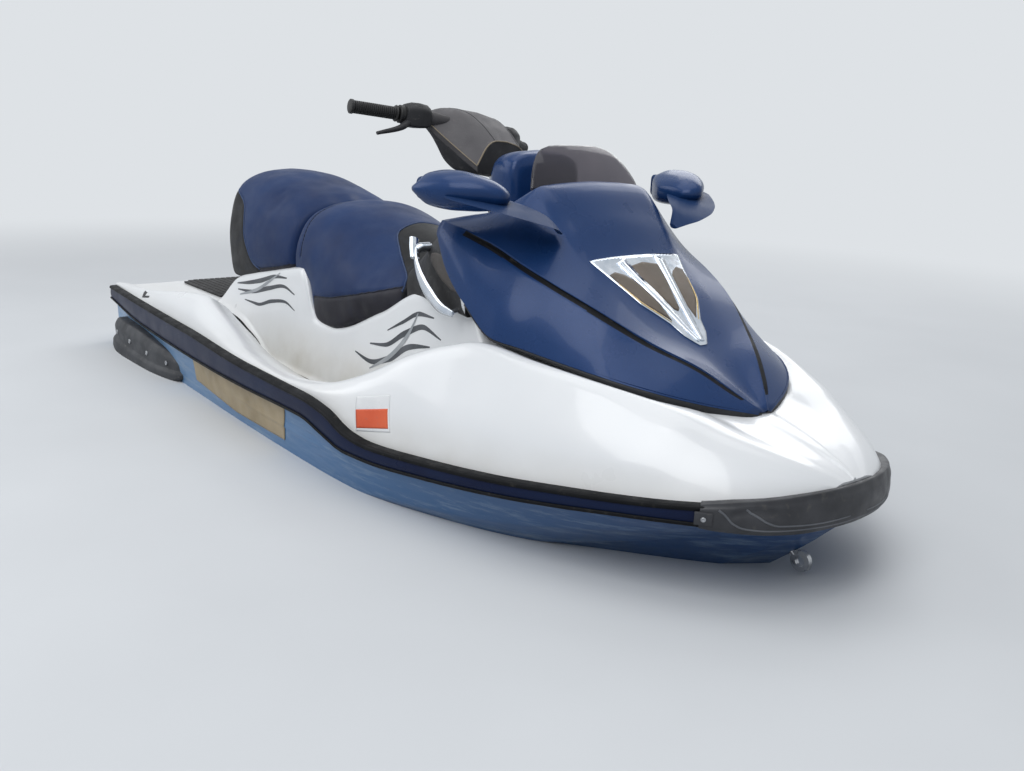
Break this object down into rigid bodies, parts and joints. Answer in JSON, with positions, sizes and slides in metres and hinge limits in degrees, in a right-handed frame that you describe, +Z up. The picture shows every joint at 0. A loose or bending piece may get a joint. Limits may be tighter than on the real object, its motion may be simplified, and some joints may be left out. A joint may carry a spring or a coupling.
{
  "type": "personal watercraft",
  "caption": "Sit-down personal watercraft: V hull, white deck, stepped bench seat, hinged hood with windshield and mirrors, handlebar, jet pump with steering nozzle and reverse gate.",
  "frame": {"origin": "on the waterline at rest, on the centre plane, 1.40 m ahead of the transom", "axes": "+X to the bow, +Y to port, +Z up; metres; the hull is level in this frame"},
  "size_m": [3.1069, 1.224, 1.1963],
  "materials": {
    "hull_blue": "metallic light blue gelcoat, scuffed",
    "gelcoat_white": "white gelcoat",
    "engine_metal": "cast and painted",
    "rail_rubber": "satin extruded rubber",
    "mat_black": "grooved foam mat",
    "seat_vinyl": "navy marine vinyl",
    "navy_paint": "navy metallic clearcoat",
    "smoke": "smoked brown acrylic",
    "mirror_face": "mirror glass",
    "chrome": "polished",
    "dark_plastic": "grained dark grey",
    "cover_grey": "soft grey cover",
    "bar_steel": "black coated steel",
    "grip_rubber": "ribbed rubber",
    "steel": "stainless",
    "pump_alloy": "anodised casting",
    "sponson_grey": "scuffed grey plastic"
  },
  "bodies": {
    "craft": {"hull_bottom": "hull_blue", "deck": "gelcoat_white", "engine": "engine_metal", "rails": "rail_rubber", "bow_bumper": "rail_rubber", "rear_mat": "mat_black", "foot_mats": "mat_black", "rear_seat": "seat_vinyl", "front_seat": "seat_vinyl", "console": "dark_plastic", "gauge_pod": "navy_paint", "steering_support": "dark_plastic", "pump_housing": "pump_alloy", "venturi": "pump_alloy", "nozzle_bracket": "pump_alloy", "intake_grate": "pump_alloy", "ride_plate": "pump_alloy", "sponsons": "sponson_grey", "bow_eye": "steel", "stern_eyes": "steel", "rear_handle": "dark_plastic", "front_bin": "dark_plastic", "hood_seal": "rail_rubber", "side_blades": "chrome"},
    "steering": {"steering_column": "steel", "steering_cover": "cover_grey", "handlebar": "bar_steel", "grips": "grip_rubber", "switch_housings": "dark_plastic", "throttle_lever": "dark_plastic"},
    "nozzle": {"steering_nozzle": "pump_alloy"},
    "bucket": {"reverse_bucket": "pump_alloy"},
    "rotor": {"impeller": "steel"},
    "hood": {"hood_shell": "navy_paint", "windshield": "smoke", "mirror_housings": "navy_paint", "mirror_glasses": "mirror_face", "hood_emblem": "chrome"}
  },
  "joints": [
    {"name": "steering_turn", "type": "hinge", "parent": "craft", "child": "steering", "pos_m": [0.345, 0, 0.818], "axis": [-0.5, 0, 0.866], "range_deg": [-41, 9]},
    {"name": "nozzle_turn", "type": "hinge", "parent": "craft", "child": "nozzle", "pos_m": [-1.36, 0, -0.077], "axis": [0, 0, 1], "range_deg": [-7.2, 32.8]},
    {"name": "reverse_gate", "type": "hinge", "parent": "craft", "child": "bucket", "pos_m": [-1.374, 0, -0.077], "axis": [0, -1, 0], "range_deg": [0, 55]},
    {"name": "rotor_spin", "type": "hinge", "parent": "craft", "child": "rotor", "pos_m": [-1.1, 0, -0.077], "axis": [1, 0, 0], "continuous": true},
    {"name": "hood_open", "type": "hinge", "parent": "craft", "child": "hood", "pos_m": [1.378, 0, 0.345], "axis": [0, 1, 0], "range_deg": [0, 50]}
  ],
  "couplings": [
    {"joint": "nozzle_turn", "follows": "steering_turn", "ratio": -0.8}
  ]
}
